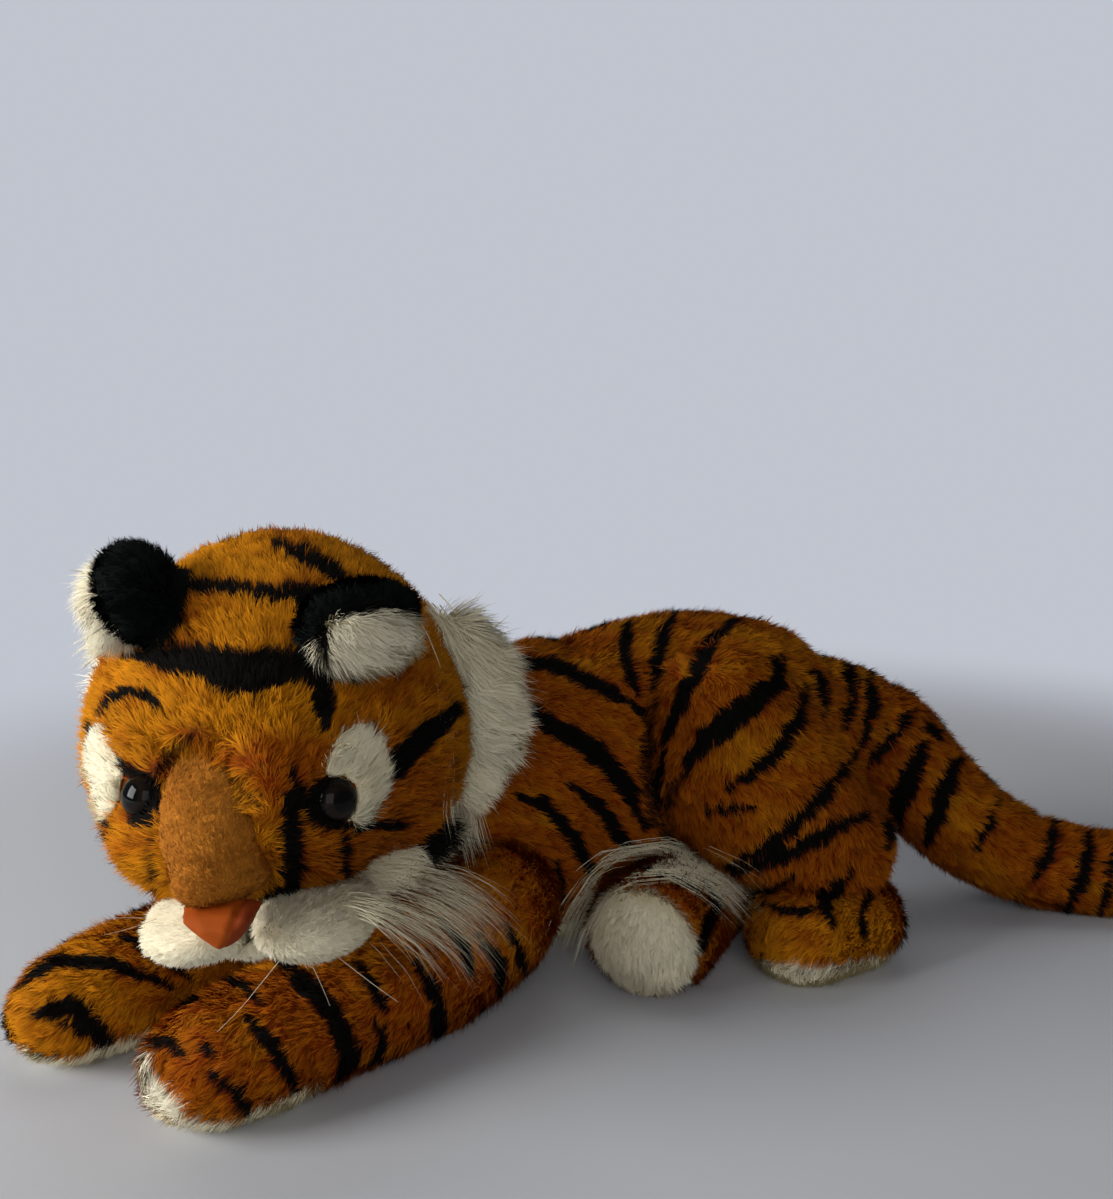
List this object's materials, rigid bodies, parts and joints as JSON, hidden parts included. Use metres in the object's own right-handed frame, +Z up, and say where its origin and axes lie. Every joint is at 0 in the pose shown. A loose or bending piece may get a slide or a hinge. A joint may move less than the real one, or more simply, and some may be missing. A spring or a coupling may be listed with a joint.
{
  "type": "plush tiger",
  "caption": "Stuffed plush tiger lying down, with striped orange fur, white muzzle and soles, folded haunch and a long drooping tail.",
  "frame": {"origin": "centre of the bounding box, on the floor that the toy lies on", "axes": "+X towards the tip of the tail, -Y the side that the face looks to, +Z up"},
  "size_m": [0.6986, 0.3444, 0.2381],
  "materials": {
    "coat": "matte",
    "black_pile": "matte",
    "white_pile": "matte",
    "tan_nap": "matte",
    "nose_cloth": "matte",
    "eye_gloss": "gloss",
    "washer": "matte"
  },
  "bodies": {
    "trunk": {"torso": "coat", "belly_panel": "white_pile", "thigh_right": "coat"},
    "nape": {"neck": "coat"},
    "skull": {"head": "coat", "nose_bridge": "tan_nap", "nose": "nose_cloth", "muzzle_left": "white_pile", "muzzle_right": "white_pile", "chin": "white_pile", "eye_patch_left": "white_pile", "eye_patch_right": "white_pile", "eye_left": "eye_gloss", "eye_right": "eye_gloss", "eye_washer_left": "washer", "eye_washer_right": "washer", "ruff_left": "white_pile", "ruff_right": "white_pile", "jaw_tuft_left": "white_pile", "jaw_tuft_right": "white_pile"},
    "left_ear": {"ear_back_left": "black_pile", "ear_pad_left": "white_pile"},
    "right_ear": {"ear_back_right": "black_pile", "ear_pad_right": "white_pile"},
    "left_arm": {"foreleg_left": "coat", "forepaw_sole_left": "white_pile"},
    "right_arm": {"foreleg_right": "coat", "forepaw_sole_right": "white_pile"},
    "left_hip": {"haunch_left": "coat", "hind_foot_left": "coat", "hind_sole_left": "white_pile"},
    "right_foot": {"hind_foot_right": "coat", "hind_sole_right": "white_pile"},
    "tail_first": {"tail_base": "coat"},
    "tail_second": {"tail_middle": "coat"},
    "tail_third": {"tail_tip": "coat"}
  },
  "joints": [
    {"name": "head_lift", "type": "hinge", "parent": "trunk", "child": "nape", "pos_m": [-0.1684, 0.06218, 0.102], "axis": [-0.7727, 0.6347, 0], "range_deg": [0, 10]},
    {"name": "head_turn", "type": "hinge", "parent": "nape", "child": "skull", "pos_m": [-0.2144, 0.00618, 0.13], "axis": [0, 0, 1], "range_deg": [-14, 12]},
    {"name": "ear_fold_left", "type": "hinge", "parent": "skull", "child": "left_ear", "pos_m": [-0.18679, -0.10717, 0.19935], "axis": [-0.8476, -0.5304, 0.017], "range_deg": [-10, 10]},
    {"name": "ear_fold_right", "type": "hinge", "parent": "skull", "child": "right_ear", "pos_m": [-0.26025, -0.09511, 0.21002], "axis": [-0.1049, 0.8305, 0.547], "range_deg": [-10, 10]},
    {"name": "foreleg_swing_left", "type": "hinge", "parent": "trunk", "child": "left_arm", "pos_m": [-0.1374, -0.00682, 0.044], "axis": [0, 0, 1], "range_deg": [-4, 24]},
    {"name": "foreleg_swing_right", "type": "hinge", "parent": "trunk", "child": "right_arm", "pos_m": [-0.2254, 0.05118, 0.044], "axis": [0, 0, 1], "range_deg": [-24, 0]},
    {"name": "hip_left", "type": "hinge", "parent": "trunk", "child": "left_hip", "pos_m": [0.0096, 0.04018, 0.106], "axis": [0, 1, 0], "range_deg": [-10, 0]},
    {"name": "foot_swing_right", "type": "hinge", "parent": "trunk", "child": "right_foot", "pos_m": [-0.0164, 0.07118, 0.0295], "axis": [0, 0, 1], "range_deg": [-8, 0]},
    {"name": "tail_lift", "type": "hinge", "parent": "trunk", "child": "tail_first", "pos_m": [0.0356, 0.10518, 0.122], "axis": [0, -1, 0], "range_deg": [0, 25]},
    {"name": "tail_swing_middle", "type": "hinge", "parent": "tail_first", "child": "tail_second", "pos_m": [0.08962, 0.10878, 0.10492], "axis": [0, 0, 1], "range_deg": [-15, 15]},
    {"name": "tail_swing_tip", "type": "hinge", "parent": "tail_second", "child": "tail_third", "pos_m": [0.18744, 0.09768, 0.02954], "axis": [0, 0, 1], "range_deg": [-15, 15]}
  ]
}
